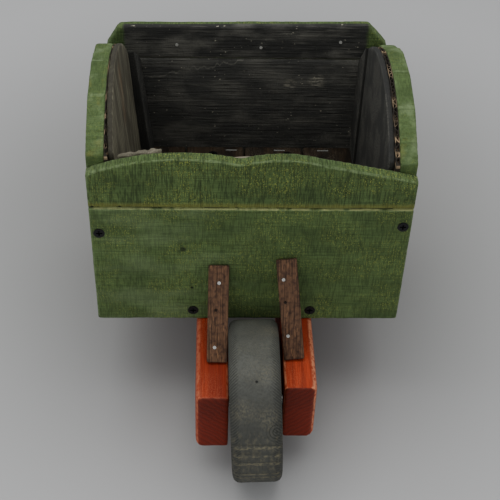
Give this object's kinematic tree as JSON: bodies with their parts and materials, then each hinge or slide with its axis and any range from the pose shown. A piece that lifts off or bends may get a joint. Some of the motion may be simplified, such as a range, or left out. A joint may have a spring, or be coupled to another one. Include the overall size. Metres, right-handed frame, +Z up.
{
  "type": "wheelbarrow",
  "caption": "Small wooden wheelbarrow planter: an open box with arched sides on two shafts, with braces, legs, handles and a solid wooden wheel on an axle.",
  "frame": {"origin": "on the ground under the middle of the overall box: X at the tray's middle, Y half-way between the wheel's front and the handles' ends", "axes": "+Z up, -Y towards the wheel at the front, +Y towards the handles, +X to the right when looking from the wheel to the handles"},
  "size_m": [0.24, 0.479, 0.2801],
  "materials": {
    "green_pine": "semi-transparent green stain on rough-sawn pine, matt",
    "floor_pine": "rough pine, unfinished and dirty",
    "weathered_lining": "weathered grey-brown pine, dry",
    "black_post": "black stained pine, matt",
    "corrugated_card": "brown corrugated cardboard, open flutes at the edge",
    "orange_shaft": "orange-red stained softwood, matt",
    "brown_brace": "dark brown stained softwood, matt",
    "grey_wheel": "grey stained softwood, worn tread",
    "black_screw": "black phosphate coated steel",
    "bright_steel": "bright drawn steel wire and rod"
  },
  "bodies": {
    "barrow": {"axle": "bright_steel", "axle_plugs": "orange_shaft", "axle_washers": "bright_steel", "back_pins": "bright_steel", "back_plank_lower": "green_pine", "back_plank_upper": "green_pine", "back_screws": "black_screw", "bearer_front": "floor_pine", "bearer_rear": "floor_pine", "brace_left": "brown_brace", "brace_nails": "bright_steel", "brace_right": "brown_brace", "cardboard_left": "corrugated_card", "cardboard_right": "corrugated_card", "corner_post_left": "black_post", "corner_post_right": "black_post", "floor_board_1": "floor_pine", "floor_board_2": "floor_pine", "floor_board_3": "floor_pine", "floor_board_4": "floor_pine", "floor_screws": "black_screw", "floor_staples": "bright_steel", "front_plank_lower": "green_pine", "front_plank_upper": "green_pine", "front_screws": "black_screw", "leg_left": "orange_shaft", "leg_right": "orange_shaft", "leg_screws": "black_screw", "leg_stretcher": "orange_shaft", "lining_front": "floor_pine", "lining_left": "weathered_lining", "lining_right": "weathered_lining", "shaft_left": "orange_shaft", "shaft_right": "orange_shaft", "side_board_left": "green_pine", "side_board_right": "green_pine"},
    "wheel": {"wheel": "grey_wheel"}
  },
  "joints": [
    {"name": "wheel_spin", "type": "hinge", "parent": "barrow", "child": "wheel", "pos_m": [0.005, -0.17654, 0.06352], "axis": [0.999, 0, 0.0436], "continuous": true}
  ]
}
